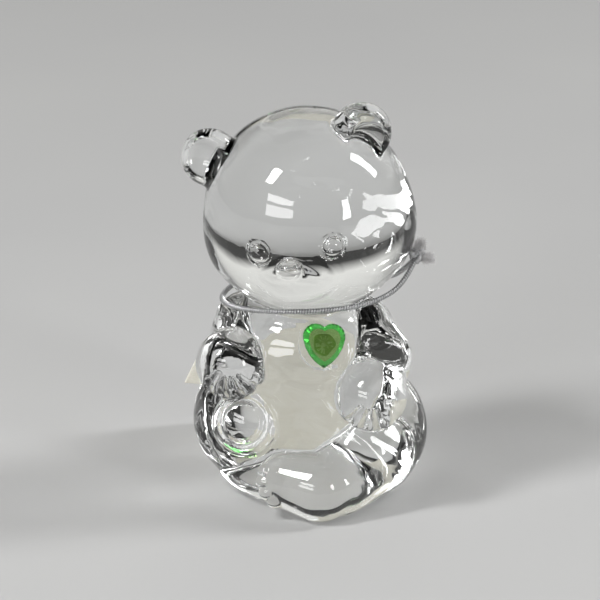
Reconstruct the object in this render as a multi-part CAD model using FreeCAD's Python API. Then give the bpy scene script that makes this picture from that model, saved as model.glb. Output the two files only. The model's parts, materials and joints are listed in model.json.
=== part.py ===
import FreeCAD, Part
import math
import os

# Sitting bear cub of clear pressed glass, with a heart gem, a cord round the neck and a hang tag.
# Millimetres. The bear faces -Y and its ground base rests on z = 0. "left" and "right" are the
# bear's own sides: its left side is at +X. Places are given from the bear's upright middle line,
# and everything is shifted at the end so that the middle of the glass's outline is the origin.

V = FreeCAD.Vector
UP = V(0, 0, 1)

# From the bear's upright middle line to the middle of its outline
OUTLINE_MIDDLE = V(0.24, -3.71, 0)

# Head
HEAD_AT = V(0.9, -2.0, 65.1)
HEAD_RADIUS = 22.6
HEAD_ROLL = 8.0            # degrees, the head leans towards the bear's right shoulder
CHEEK_RADII = V(22.9, 20.5, 16.5)
CHEEK_DROP = 4.5
MUZZLE_RADII = V(8.4, 5.4, 6.2)
NOSE_RADII = V(2.6, 2.0, 1.9)
EYE_RADIUS = 2.4
EYE_SPREAD = 7.8           # half the distance between the eyes
EAR_RADII = V(6.5, 4.6, 6.7)
EAR_DISH_RADIUS = 5.2
RIGHT_EAR_AT = V(-19.9, -5.0, 76.9)
LEFT_EAR_AT = V(13.2, -6.5, 84.8)

# Body
TORSO_AT = V(0.0, 0.5, 24.0)
TORSO_RADII = V(20.5, 19.5, 26.0)
CHEST_AT = V(0.0, -1.2, 35.0)
CHEST_RADII = V(17.5, 15.2, 11.6)
SHOULDER_RADIUS = 7.4
PAW_RADIUS = 7.7
WRIST_RADIUS = 6.4
RIGHT_HAUNCH_AT = V(-12.1, -3.0, 16.8)
RIGHT_HAUNCH_RADII = V(12.2, 14.0, 14.0)
LEFT_HAUNCH_AT = V(15.2, 0.0, 13.8)
LEFT_HAUNCH_RADII = V(11.8, 14.5, 14.0)
SEAT_AT = V(2.0, -2.0, 6.0)
SEAT_RADII = V(21.0, 17.5, 8.6)
SOLE_AT = V(-10.8, -17.0, 20.6)
SOLE_FACES = V(-0.08, -0.95, 0.3)
SOLE_RADIUS = 7.3
PAD_RADIUS = 4.2
TOE_RADIUS = 1.9
TOE_FACE = V(0.12, -0.93, 0.35)   # the paws and feet all show this way

# Gem, a heart glued in a flat seat on the chest
GEM_SURFACE_AT = V(6.2, -14.9, 38.7)
GEM_FACES = V(0.22, -0.9, 0.38)
GEM_WIDTH = 9.2
GEM_HEIGHT = 9.6
GEM_GIRDLE = 0.5           # height of the straight edge between the bevels
GEM_CROWN = 1.2
GEM_TABLE = 0.74           # size of the flat front face against the outline
FLAT_DEPTH = 0.7
FLAT_RADIUS = 5.5
GLUE_RADIUS = 2.7
GLUE_THICK = 0.25

# Neck cord, an elastic thread wound with metallised yarn
CORD_DIAMETER = 1.2
CORE_DIAMETER = 0.7
KNOT_RADIUS = 1.75
KNOT_SEAT = 1.3            # from the knot's middle to the face of each strand in it
TAIL_LENGTH = 3.4
KNOT_AT = V(24.5, 0.2, 54.9)
CORD_ROUTE = [
    V(23.6, -2.4, 52.2),
    V(20.6, -7.4, 48.6),
    V(14.0, -13.8, 47.4),
    V(4.5, -17.5, 47.2),
    V(-6.5, -17.1, 46.3),
    V(-15.2, -11.2, 45.0),
    V(-18.9, -1.6, 43.7),
    V(-16.2, 8.6, 44.0),
    V(-7.8, 15.2, 44.6),
    V(3.4, 16.6, 44.7),
    V(12.6, 12.2, 44.9),
    V(18.8, 5.6, 47.6),
    V(23.0, 2.4, 52.0),
]

# Hang tag
TAG_LONG = 46.0
TAG_SHORT = 27.5
TAG_THICK = 0.4
HOLE_INSET = 3.4
HOLE_RADIUS = 2.1
HANG_DROP = 0.5            # the cord runs this far above the middle of the hole
TAG_BEARING = 121.5        # degrees round the neck from +X to the place where the tag hangs
TAG_FACES = 90.0           # degrees from +X to the way the tag's back faces
TAG_LEAN = 31.0            # degrees between the tag and upright


def unit(v):
    return V(v).normalize()


def turned(axis, degrees):
    return FreeCAD.Rotation(axis, degrees)


def facing(direction):
    """The rotation that takes -Y to direction with the least roll."""
    return FreeCAD.Rotation(V(0, -1, 0), direction)


def ellipsoid(at, radii, rotation=FreeCAD.Rotation()):
    stretch = FreeCAD.Matrix()
    stretch.scale(radii)
    shape = Part.makeSphere(1.0).transformGeometry(stretch)
    shape.Placement = FreeCAD.Placement(at, rotation)
    return shape


def limb(start, start_radius, end, end_radius):
    """A round limb: two balls and the cone that is tangent to both, turned as one profile."""
    length = (end - start).Length
    lean = math.asin((start_radius - end_radius) / length)
    foot = V(start_radius * math.cos(lean), 0, start_radius * math.sin(lean))
    head = V(end_radius * math.cos(lean), 0, length + end_radius * math.sin(lean))
    low_mid = (lean - math.pi / 2) / 2
    high_mid = (lean + math.pi / 2) / 2
    low = V(start_radius * math.cos(low_mid), 0, start_radius * math.sin(low_mid))
    high = V(end_radius * math.cos(high_mid), 0, length + end_radius * math.sin(high_mid))
    bottom = V(0, 0, -start_radius)
    top = V(0, 0, length + end_radius)
    edges = [
        Part.Arc(bottom, low, foot).toShape(),
        Part.LineSegment(foot, head).toShape(),
        Part.Arc(head, high, top).toShape(),
        Part.LineSegment(top, bottom).toShape(),
    ]
    shape = Part.Face(Part.Wire(edges)).revolve(V(), UP, 360)
    shape.Placement = FreeCAD.Placement(start, FreeCAD.Rotation(UP, end - start))
    return shape


def toes(centre, radius, polar, angles):
    """Toe bumps on a paw, polar degrees off its face and at the given angles from its lowest side."""
    face = unit(TOE_FACE)
    side = unit(face.cross(-UP))
    down = side.cross(face)
    found = []
    for angle in angles:
        a = math.radians(angle)
        p = math.radians(polar)
        across = down * math.cos(a) + side * math.sin(a)
        at = centre + (face * math.cos(p) + across * math.sin(p)) * radius
        found.append(Part.makeSphere(TOE_RADIUS, at))
    return found


def head():
    roll = turned(V(0, 1, 0), -HEAD_ROLL)
    place = FreeCAD.Placement(HEAD_AT, roll)

    def on_head(x, y, z):
        return place.multVec(V(x, y, z))

    lobes = [
        Part.makeSphere(HEAD_RADIUS, HEAD_AT),
        ellipsoid(on_head(0, 0, -CHEEK_DROP), CHEEK_RADII, roll),
        ellipsoid(on_head(-0.8, -18.8, -8.4), MUZZLE_RADII, roll),
        ellipsoid(on_head(-1.6, -23.9, -5.6), NOSE_RADII, roll),
    ]
    for side in (-1, 1):
        lobes.append(Part.makeSphere(EYE_RADIUS, on_head(side * EYE_SPREAD, -20.2, -1.9)))
    return lobes


def ear(at, lean, dish_way):
    """A round ear with a dish scooped from the side that dish_way points to."""
    rotation = turned(V(0, 1, 0), lean)
    shape = ellipsoid(at, EAR_RADII, rotation)
    way = unit(dish_way)
    dish = Part.makeSphere(EAR_DISH_RADIUS, at + way * (EAR_DISH_RADIUS + 1.0))
    return shape.cut(dish)


def arms():
    right_shoulder = V(-12.6, -1.0, 37.6)
    left_shoulder = V(12.4, -2.0, 38.0)
    right_paw = V(-14.2, -15.0, 33.3)
    left_elbow = V(17.6, -8.0, 33.5)
    left_paw = V(16.8, -14.8, 27.4)
    shapes = [
        limb(right_shoulder, SHOULDER_RADIUS, right_paw, WRIST_RADIUS),
        limb(left_shoulder, SHOULDER_RADIUS, left_elbow, 6.6),
        limb(left_elbow, 6.7, left_paw, WRIST_RADIUS),
        Part.makeSphere(PAW_RADIUS, right_paw),
        Part.makeSphere(PAW_RADIUS, left_paw),
    ]
    shapes += toes(right_paw, PAW_RADIUS - 0.9, 50, (-60, -28, 4, 36, 68))
    shapes += toes(left_paw, PAW_RADIUS - 0.9, 60, (-62, -34, -6, 22))
    return shapes


def raised_leg():
    """The bear's right leg, drawn up so that its sole faces forward."""
    facing_way = unit(SOLE_FACES)
    hip = V(-12.0, -4.0, 14.0)
    heel = SOLE_AT - facing_way * 3.0
    sole = ellipsoid(SOLE_AT, V(SOLE_RADIUS, 4.0, SOLE_RADIUS), facing(facing_way))
    ring = Part.makeTorus(PAD_RADIUS + 0.9, 0.8, SOLE_AT + facing_way * 3.1, facing_way)
    return [limb(hip, 9.0, heel, 6.9), sole], [ring]


def lying_leg():
    """The bear's left leg, which lies on the table and crosses in front of the body."""
    knee = V(14.8, -9.2, 12.2)
    ankle = V(9.6, -16.2, 7.6)
    heel = V(6.0, -19.4, 6.9)
    foot_end = V(-1.2, -18.2, 7.8)
    shapes = [
        limb(knee, 10.5, ankle, 7.8),
        limb(heel, 7.5, foot_end, 6.3),
    ]
    shapes += toes(foot_end, 5.6, 66, (-112, -86, -60, -34))
    return shapes


def gem_place():
    """Where the gem's seat is: its middle, with local +Y into the glass and local +Z up the chest."""
    way = unit(GEM_FACES)
    return FreeCAD.Placement(GEM_SURFACE_AT - way * FLAT_DEPTH, facing(way))


def gem_seat():
    """The flat, round recess that the gem is glued into."""
    cutter = Part.makeCylinder(FLAT_RADIUS, 6.0, V(), V(0, -1, 0))
    cutter.Placement = gem_place()
    return cutter


def glass_bear():
    leg, ring = raised_leg()
    lobes = [
        ellipsoid(TORSO_AT, TORSO_RADII),
        ellipsoid(CHEST_AT, CHEST_RADII),
        ellipsoid(SEAT_AT, SEAT_RADII),
        ellipsoid(RIGHT_HAUNCH_AT, RIGHT_HAUNCH_RADII),
        ellipsoid(LEFT_HAUNCH_AT, LEFT_HAUNCH_RADII),
    ]
    lobes += head()
    lobes.append(ear(RIGHT_EAR_AT, -58, V(-0.25, -0.95, 0.15)))
    lobes.append(ear(LEFT_EAR_AT, 35, V(0.4, -0.85, -0.3)))
    lobes += arms() + leg + lying_leg()
    body = lobes[0].multiFuse(lobes[1:])
    below = Part.makeBox(120, 120, 40, V(-60, -60, -40))
    for cutter in [below, gem_seat()] + ring:
        body = body.cut(cutter)
    return body


def heart_wire(scale, depth):
    """A heart outline of two round lobes and two full sides that meet in a point, at local y = depth."""
    half = GEM_WIDTH / 2 * scale
    top = GEM_HEIGHT * 0.46 * scale
    cleft = V(0, depth, top - half * 0.14)
    tip = V(0, depth, top - GEM_HEIGHT * scale)
    edges = []
    for side in (-1, 1):
        crest = V(side * half * 0.55, depth, top)
        flank = V(side * half, depth, top - half * 0.7)
        fullness = V(side * half * 0.17, 0, -half * 0.12)
        belly = (flank + tip) * 0.5 + fullness
        edges.append(Part.Arc(cleft, crest, flank).toShape())
        edges.append(Part.Arc(flank, belly, tip).toShape())
    return Part.Wire(Part.__sortEdges__(edges))


def heart_gem():
    back = -GLUE_THICK
    girdle_low = back - 0.6
    girdle_high = girdle_low - GEM_GIRDLE
    front = girdle_high - GEM_CROWN
    sections = [
        heart_wire(0.86, back),
        heart_wire(1.0, girdle_low),
        heart_wire(1.0, girdle_high),
        heart_wire(GEM_TABLE, front),
    ]
    gem = Part.makeLoft(sections, True, True)
    gem.Placement = gem_place()
    return gem


def gem_adhesive():
    patch = Part.makeCylinder(GLUE_RADIUS, GLUE_THICK, V(), V(0, -1, 0))
    patch.Placement = gem_place()
    return patch


def strand_seat(neighbour):
    """The middle of the face where a strand ends inside the knot, coming from neighbour."""
    return KNOT_AT + unit(neighbour - KNOT_AT) * KNOT_SEAT


def cord_points():
    return [strand_seat(CORD_ROUTE[0])] + CORD_ROUTE + [strand_seat(CORD_ROUTE[-1])]


def cord_path(points):
    """Straight runs joined by tangent arcs, each as large as its two runs allow."""
    edges = []
    radii = []
    last = points[0]
    for before, corner, after in zip(points, points[1:], points[2:]):
        into = unit(corner - before)
        out = unit(after - corner)
        half_turn = into.getAngle(out) / 2
        shorter = min((corner - before).Length, (after - corner).Length)
        cut = 0.45 * shorter
        radius = cut / math.tan(half_turn)
        start = corner - into * cut
        end = corner + out * cut
        inward = unit(out - into)
        middle = corner + inward * (radius / math.cos(half_turn) - radius)
        edges.append(Part.LineSegment(last, start).toShape())
        edges.append(Part.Arc(start, middle, end).toShape())
        radii.append(radius)
        last = end
    edges.append(Part.LineSegment(last, points[-1]).toShape())
    return Part.Wire(edges), radii


def tube(path, points, radius):
    circle = Part.Wire(Part.makeCircle(radius, points[0], points[1] - points[0]))
    return path.makePipeShell([circle], True, False)


def tails():
    """The starts and ends of the two cut cord ends that leave the knot."""
    ways = {"cord_tail_upper": V(0.32, 0.1, 0.94), "cord_tail_side": V(0.95, 0.2, 0.12)}
    return {name: (KNOT_AT + unit(w) * KNOT_SEAT, unit(w)) for name, w in ways.items()}


def tail(start, way):
    return Part.makeCylinder(CORD_DIAMETER / 2, TAIL_LENGTH, start, way)


def cord_knot(neighbours):
    """The overhand knot: a ball with a bulge for each turn, and a socket for each strand."""
    lobes = [Part.makeSphere(KNOT_RADIUS * 0.9, KNOT_AT)]
    axis = unit(V(-0.3, 0.2, 0.9))
    for k in range(3):
        way = turned(axis, 120 * k).multVec(unit(V(1, 0.4, 0.2)))
        lobes.append(Part.makeSphere(KNOT_RADIUS * 0.66, KNOT_AT + way * KNOT_RADIUS * 0.45))
    knot = lobes[0].multiFuse(lobes[1:])
    for seat, way in neighbours:
        knot = knot.cut(Part.makeCylinder(CORD_DIAMETER / 2, 4.0, seat, way))
    return knot


def hang_tag(cord_at):
    """A punched card that hangs by one corner from the cord at cord_at and leans on the bear's back."""
    bearing = math.radians(TAG_FACES)
    lean = math.radians(TAG_LEAN)
    outward = V(math.cos(bearing), math.sin(bearing), 0)
    along = V(-math.sin(bearing), math.cos(bearing), 0)
    down = outward * math.sin(lean) - UP * math.cos(lean)
    half_long = TAG_LONG / 2 - HOLE_INSET
    half_short = TAG_SHORT / 2 - HOLE_INSET
    swing = math.atan2(half_short, half_long)
    long_way = down * math.cos(swing) + along * math.sin(swing)
    short_way = down * math.sin(swing) - along * math.cos(swing)
    normal = long_way.cross(short_way)
    hole_at = cord_at + down * HANG_DROP
    corner = hole_at - (long_way + short_way) * HOLE_INSET - normal * (TAG_THICK / 2)
    corners = [
        corner,
        corner + long_way * TAG_LONG,
        corner + long_way * TAG_LONG + short_way * TAG_SHORT,
        corner + short_way * TAG_SHORT,
    ]
    card = Part.Face(Part.makePolygon(corners + [corner])).extrude(normal * TAG_THICK)
    punch = Part.makeCylinder(HOLE_RADIUS, 4.0, hole_at - normal * 2.0, normal)
    return card.cut(punch)


def tag_hinge(path):
    """The point of the cord that is nearest to the tag's bearing, and the cord's way there."""
    points = path.discretize(Distance=0.25)

    def miss(k):
        around = points[k] - HEAD_AT
        bearing = math.degrees(math.atan2(around.y, around.x)) % 360
        return abs(bearing - TAG_BEARING)

    nearest = min(range(1, len(points) - 1), key=miss)
    return points[nearest], unit(points[nearest + 1] - points[nearest - 1])


def main():
    os.makedirs("parts", exist_ok=True)
    points = cord_points()
    path, radii = cord_path(points)
    print("cord bend radii", [round(r, 1) for r in radii])
    outside = tube(path, points, CORD_DIAMETER / 2)
    core = tube(path, points, CORE_DIAMETER / 2)
    print("cord length", round(path.Length, 1), "volume share",
          round(outside.Volume / (path.Length * math.pi * CORD_DIAMETER ** 2 / 4), 4))
    ends = tails()
    strands = [(strand_seat(p), unit(p - KNOT_AT)) for p in (CORD_ROUTE[0], CORD_ROUTE[-1])]
    hinge_at, hinge_way = tag_hinge(path)
    print("tag hinge at", hinge_at - OUTLINE_MIDDLE, "along", hinge_way)
    nodes = {
        "glass_bear": glass_bear(),
        "heart_gem": heart_gem(),
        "gem_adhesive": gem_adhesive(),
        "cord_core": core,
        "cord_winding": outside.cut(core),
        "cord_knot": cord_knot(strands + list(ends.values())),
        "hang_tag": hang_tag(hinge_at),
    }
    for name, (start, way) in ends.items():
        nodes[name] = tail(start, way)
    for name, shape in nodes.items():
        shape = shape.copy()
        shape.translate(-OUTLINE_MIDDLE)
        box = shape.BoundBox
        print(name, shape.ShapeType, len(shape.Solids), shape.isValid(), round(shape.Volume, 2),
              [round(x, 2) for x in (box.XMin, box.XMax, box.YMin, box.YMax, box.ZMin, box.ZMax)])
        shape.exportStep("parts/" + name + ".step")


main()
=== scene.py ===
import json
import math
import random

import bmesh
import bpy
import numpy as np
from mathutils import Matrix, Vector


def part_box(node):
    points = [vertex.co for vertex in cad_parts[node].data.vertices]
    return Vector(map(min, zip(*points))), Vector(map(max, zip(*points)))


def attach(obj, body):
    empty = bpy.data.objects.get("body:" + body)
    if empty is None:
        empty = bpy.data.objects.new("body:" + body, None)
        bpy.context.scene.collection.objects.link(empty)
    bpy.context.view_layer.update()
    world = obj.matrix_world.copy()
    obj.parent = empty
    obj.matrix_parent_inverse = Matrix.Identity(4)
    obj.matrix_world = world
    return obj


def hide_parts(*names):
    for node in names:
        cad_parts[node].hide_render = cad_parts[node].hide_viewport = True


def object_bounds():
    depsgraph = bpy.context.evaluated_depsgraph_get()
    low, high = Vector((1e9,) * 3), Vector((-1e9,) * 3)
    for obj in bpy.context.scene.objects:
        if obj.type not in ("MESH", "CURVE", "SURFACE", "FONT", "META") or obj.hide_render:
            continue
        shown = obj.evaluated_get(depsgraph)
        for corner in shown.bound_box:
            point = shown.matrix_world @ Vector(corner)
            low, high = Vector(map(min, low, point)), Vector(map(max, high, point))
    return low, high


# A sitting bear cub of clear pressed glass, with a heart stone glued on its chest, a wound elastic cord
# tied round its neck and a punched card hang tag behind it. Metres. The bear faces -Y, its left side is
# at +X and its ground base rests on z = 0. Places are given from the bear's upright middle line and are
# moved by OUTLINE_MIDDLE into the frame, whose origin is the middle of the glass's outline.

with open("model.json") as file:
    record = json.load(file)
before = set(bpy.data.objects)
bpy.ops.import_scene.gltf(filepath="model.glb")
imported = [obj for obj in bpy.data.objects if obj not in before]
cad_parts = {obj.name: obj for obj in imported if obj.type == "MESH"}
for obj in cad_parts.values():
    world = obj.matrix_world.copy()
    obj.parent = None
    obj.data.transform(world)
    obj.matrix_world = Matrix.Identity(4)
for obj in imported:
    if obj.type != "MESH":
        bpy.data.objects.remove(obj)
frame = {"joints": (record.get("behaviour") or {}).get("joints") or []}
cad_low, cad_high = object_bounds()

UP = Vector((0, 0, 1))
OUTLINE_MIDDLE = Vector((0.00024, -0.00371, 0))

# Camera
CAMERA_AZIMUTH = 8.0
CAMERA_ELEVATION = 20.0
CAMERA_DISTANCE = 1.2
SEEN_WIDTH = 0.1333          # width of the picture at the bear
LOOK_AT = Vector((-0.00304, 0.0136, 0.0382))

# Neck cord: the route's points, from the knot round the neck and back to it
CORD_DIAMETER = 0.0012
CORE_DIAMETER = 0.0007
KNOT_AT = Vector((0.0245, 0.0002, 0.0549))
KNOT_SEAT = 0.0013
CORD_ROUTE = [
    Vector((0.0236, -0.0024, 0.0522)),
    Vector((0.0206, -0.0074, 0.0486)),
    Vector((0.0140, -0.0138, 0.0474)),
    Vector((0.0045, -0.0175, 0.0472)),
    Vector((-0.0065, -0.0171, 0.0463)),
    Vector((-0.0152, -0.0112, 0.0450)),
    Vector((-0.0189, -0.0016, 0.0437)),
    Vector((-0.0162, 0.0086, 0.0440)),
    Vector((-0.0078, 0.0152, 0.0446)),
    Vector((0.0034, 0.0166, 0.0447)),
    Vector((0.0126, 0.0122, 0.0449)),
    Vector((0.0188, 0.0056, 0.0476)),
    Vector((0.0230, 0.0024, 0.0520)),
]
YARN_PITCH = 0.00060         # from one turn of the yarn to the next
YARN_DEPTH = 0.00022         # of the valley between two turns

# Knot, and the cut ends beside it whose yarn has come apart into fibres
KNOT_FACES = Vector((0.25, -0.9, 0.35))
KNOT_SIZE = 0.00043
KNOT_RISE = 0.00062          # of the line over and under itself
KNOT_RADIUS = 0.00086        # of the thickened cord that fills the knot
UPPER_TAIL_WAY = Vector((0.32, 0.1, 0.94))
SIDE_TAIL_WAY = Vector((0.95, 0.1, -0.28))
STUB_LENGTH = 0.0009
FIBRE_COUNT = 900
FIBRE_LENGTHS = (0.0006, 0.0019)
FIBRE_RADII = (0.00004, 0.00008)
FIBRE_CURL = 0.55

# Head, in its own upright frame: a ball with cheeks, muzzle, nose and bead eyes
HEAD_AT = (0.0009, -0.0020, 0.0651)
HEAD_RADIUS = 0.0226
HEAD_ROLL = 8.0
CHEEK_AT = (0, 0, -0.0045)
CHEEK_RADII = (0.0229, 0.0205, 0.0165)
MUZZLE_AT = (-0.0008, -0.0188, -0.0084)
MUZZLE_RADII = (0.0084, 0.0054, 0.0062)
NOSE_AT = (-0.0016, -0.0239, -0.0056)
NOSE_RADII = (0.0026, 0.0020, 0.0019)
EYE_AT = (0.0078, -0.0202, -0.0019)
EYE_RADIUS = 0.0024
EYE_GROOVE_HEIGHT = 0.0226   # of the groove round each bead, from the middle of the head
EYE_GROOVE_THICK = 0.0005
PHILTRUM_TOP_AT = (NOSE_AT[0], -0.0249, -0.0085)
MOUTH_FORK_AT = (NOSE_AT[0], -0.0241, -0.0122)
MOUTH_CORNER_AT = (0.0046, -0.0220, -0.0134)      # the first number is from the middle of the nose
PHILTRUM_RADIUS = 0.00045
MOUTH_RADIUS = 0.0004
MOUTH_END_RADIUS = 0.0003

# Ears: where they are, how far they lean and which way their dish faces
EAR_RADII = (0.0065, 0.0046, 0.0067)
EAR_DISH_RADIUS = 0.0052
EAR_DISH_GAP = 0.001         # from the middle of the ear to the deepest place of its dish
RIGHT_EAR = ((-0.0199, -0.0050, 0.0769), -58, (-0.25, -0.95, 0.15))
LEFT_EAR = ((0.0132, -0.0065, 0.0848), 35, (0.4, -0.85, -0.3))

# Body
TORSO_AT = (0.0, 0.0005, 0.0240)
TORSO_RADII = (0.0205, 0.0195, 0.0260)
CHEST_AT = (0.0, -0.0012, 0.0350)
CHEST_RADII = (0.0175, 0.0152, 0.0116)
SEAT_AT = (0.0020, -0.0020, 0.0060)
SEAT_RADII = (0.0210, 0.0175, 0.0086)
RIGHT_HAUNCH_AT = (-0.0121, -0.0030, 0.0168)
RIGHT_HAUNCH_RADII = (0.0122, 0.0140, 0.0140)
LEFT_HAUNCH_AT = (0.0152, 0.0, 0.0138)
LEFT_HAUNCH_RADII = (0.0118, 0.0145, 0.0140)

# Arms, with the angles of their toes
SHOULDER_RADIUS = 0.0074
RIGHT_SHOULDER_AT = (-0.0126, -0.0010, 0.0376)
LEFT_SHOULDER_AT = (0.0124, -0.0020, 0.0380)
LEFT_ELBOW_AT = (0.0176, -0.0080, 0.0335)
ELBOW_RADIUS = 0.0066
FOREARM_RADIUS = 0.0067
RIGHT_PAW_AT = (-0.0142, -0.0150, 0.0333)
LEFT_PAW_AT = (0.0168, -0.0148, 0.0274)
PAW_RADIUS = 0.0077
WRIST_RADIUS = 0.0064
TOE_RADIUS = 0.0019
TOE_INSET = 0.0012           # of the toes' middles from the paw's surface
RIGHT_PAW_TOES = (-50, -22, 6, 34, 62)
RIGHT_PAW_TWIST = 14         # of the grooves round the paw
LEFT_PAW_TOES = (-56, -28, 0, 28)

# Legs
RIGHT_THIGH_AT = (-0.0120, -0.0040, 0.0140)
RIGHT_THIGH_RADIUS = 0.0090
RIGHT_HEEL_RADIUS = 0.0069
SOLE_AT = (-0.0108, -0.0170, 0.0206)
SOLE_FACES = (-0.08, -0.95, 0.3)
SOLE_RADIUS = 0.0073
PAD_RADIUS = 0.0042
LEFT_KNEE_AT = (0.0148, -0.0092, 0.0122)
LEFT_KNEE_RADIUS = 0.0105
LEFT_ANKLE_AT = (0.0096, -0.0162, 0.0076)
LEFT_ANKLE_RADIUS = 0.0078
LEFT_HEEL_AT = (0.0060, -0.0194, 0.0069)
LEFT_HEEL_RADIUS = 0.0075
FOOT_END_AT = (-0.0012, -0.0182, 0.0078)
FOOT_END_RADIUS = 0.0063
FOOT_TOES = (-112, -86, -60, -34)
TOE_FACE = (0.12, -0.93, 0.35)

# Fillets of the casting, and the rounding of its carved edges
TORSO_FILLET = 0.003
HAUNCH_FILLET = 0.0016
LIMB_FILLET = 0.0009
ELBOW_FILLET = 0.002
PAW_FILLET = 0.0012
CHEEK_FILLET = 0.003
MUZZLE_FILLET = 0.0022
NOSE_FILLET = 0.0007
EYE_FILLET = 0.0002
EAR_FILLET = 0.0011
NECK_FILLET = 0.0014
BASE_FILLET = 0.0008
DISH_EDGE = 0.0009
GROOVE_EDGE = 0.0006
FLAT_EDGE = 0.0003

# Gem and its seat
GEM_SURFACE_AT = Vector((0.0062, -0.0149, 0.0387))
GEM_FACES = Vector((0.22, -0.9, 0.38))
GEM_WIDTH = 0.0092
GEM_HEIGHT = 0.0096
GEM_PAVILION = 0.0006        # height from the flat back to the girdle
GEM_GIRDLE = 0.0005
GEM_CROWN = 0.0012
GEM_BACK = 0.86              # share of the outline that the flat back keeps
GEM_BREAK = 0.90             # share that is left where the crown's slope changes
GEM_BREAK_HEIGHT = 0.62      # share of the crown's height up to there
GEM_TABLE = 0.74
FLAT_DEPTH = 0.0007
FLAT_RADIUS = 0.0055
GLUE_RADIUS = 0.0027
GLUE_THICK = 0.00025

# Hang tag
TAG_LONG = 0.0460
TAG_SHORT = 0.0275
TAG_THICK = 0.0004
HOLE_INSET = 0.0034
HOLE_RADIUS = 0.0021
HANG_DROP = 0.0005
TAG_LEAN = 31.0
CARD_BOW = 0.0009
CARD_CURL = 0.044
CARD_EDGE = 0.00008          # width of its worn edge

# Glass
CLEAR_GLASS = (0.985, 0.995, 0.99, 1)
BASE_LEVEL = 0.0003          # highest place of the ground underside
WAVE_HEIGHT = 0.000022       # of the broad unevenness of the glass
FLOW_HEIGHT = 0.000009       # of the finer flow lines on it
GRID_STEP = 0.00054          # of the grid that the glass's surface is drawn on

# Studio
FLOOR_HALF = 1.6
FLOOR_DROP = 0.00005         # keeps the floor clear of the ground base
LIGHTS_AIM_AT = Vector((0, 0, 0.045))
STUDIO_LIGHTS = [            # name, place, width and height, watts
    ("key softbox", (-0.68, -0.60, 1.04), (0.24, 0.40), 9.6),
    ("rim softbox", (0.92, 0.28, 0.80), (0.20, 0.60), 6.4),
    ("upper window pane", (-0.57, -1.16, 0.67), (0.72, 0.21), 4.4),
    ("lower window pane", (-0.57, -1.20, 0.37), (0.72, 0.21), 3.8),
    ("right fill", (0.94, -0.75, 0.36), (0.17, 0.38), 3.6),
]
WALL_SHADES = [              # how far up one looks, from 0 for level to 1 for straight up, and the shade
    (0.05, 0.035),
    (0.16, 0.80),
    (0.62, 0.62),
    (0.92, 0.05),
]


# Making objects

def new_mesh(name, points, faces, smooth=True):
    mesh = bpy.data.meshes.new(name)
    mesh.from_pydata([tuple(p) for p in points], [], [tuple(int(k) for k in f) for f in faces])
    mesh.validate()
    if smooth:
        mesh.shade_smooth()
    else:
        mesh.shade_flat()
    piece = bpy.data.objects.new(name, mesh)
    bpy.context.scene.collection.objects.link(piece)
    return piece


def moved(points):
    """Points given from the bear's middle line, in the frame."""
    return [Vector(p) - OUTLINE_MIDDLE for p in points]


def joined(name, groups, smooth=True):
    """One mesh from several (points, faces) groups."""
    points, faces = [], []
    for group_points, group_faces in groups:
        start = len(points)
        points += group_points
        faces += [[k + start for k in face] for face in group_faces]
    return new_mesh(name, points, faces, smooth)


def tube_faces(ring_count, around):
    """Quads from each ring of points to the next, and one face at each end."""
    faces = []
    for j in range(ring_count - 1):
        for k in range(around):
            here = j * around + k
            beside = j * around + (k + 1) % around
            faces.append((here, beside, beside + around, here + around))
    faces.append(tuple(range(around))[::-1])
    faces.append(tuple(range((ring_count - 1) * around, ring_count * around)))
    return faces


# Camera

def add_camera():
    azimuth = math.radians(CAMERA_AZIMUTH)
    elevation = math.radians(CAMERA_ELEVATION)
    back = Vector((
        math.sin(azimuth) * math.cos(elevation),
        -math.cos(azimuth) * math.cos(elevation),
        math.sin(elevation),
    ))
    data = bpy.data.cameras.new("camera")
    data.lens = data.sensor_width * CAMERA_DISTANCE / SEEN_WIDTH
    data.clip_start = 0.01
    data.clip_end = 20
    camera = bpy.data.objects.new("camera", data)
    camera.location = LOOK_AT - OUTLINE_MIDDLE + back * CAMERA_DISTANCE
    camera.rotation_euler = (-back).to_track_quat("-Z", "Y").to_euler()
    bpy.context.scene.collection.objects.link(camera)
    bpy.context.scene.camera = camera


# Cord

def spline_line(points, closed=False, resolution=24):
    """The points of the smooth line that has these control points."""
    curve = bpy.data.curves.new("line", "CURVE")
    curve.dimensions = "3D"
    spline = curve.splines.new("NURBS")
    spline.points.add(len(points) - 1)
    for k, p in enumerate(points):
        spline.points[k].co = (*p, 1)
    spline.order_u = 3
    spline.use_endpoint_u = not closed
    spline.use_cyclic_u = closed
    spline.resolution_u = resolution
    holder = bpy.data.objects.new("line", curve)
    mesh = bpy.data.meshes.new_from_object(holder)
    line = [v.co.copy() for v in mesh.vertices]
    bpy.data.objects.remove(holder)
    bpy.data.curves.remove(curve)
    bpy.data.meshes.remove(mesh)
    return line


def evenly(line, step):
    """Points every step or a little less along a line, with the way there and a side that doesn't twist."""
    line = np.array([tuple(p) for p in line])
    runs = np.linalg.norm(np.diff(line, axis=0), axis=1)
    at = np.concatenate([[0], np.cumsum(runs)])
    count = max(2, int(math.ceil(at[-1] / step)) + 1)
    places = np.linspace(0, at[-1], count)
    points = np.stack([np.interp(places, at, line[:, k]) for k in range(3)], axis=1)
    ways = np.gradient(points, axis=0)
    ways /= np.linalg.norm(ways, axis=1, keepdims=True)
    side = np.cross(ways[0], (0.3, 0.2, 1.0))
    sides = []
    for way in ways:
        side = side - way * side.dot(way)
        side /= np.linalg.norm(side)
        sides.append(side)
    sides = np.array(sides)
    return places, points, ways, sides, np.cross(ways, sides)


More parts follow.
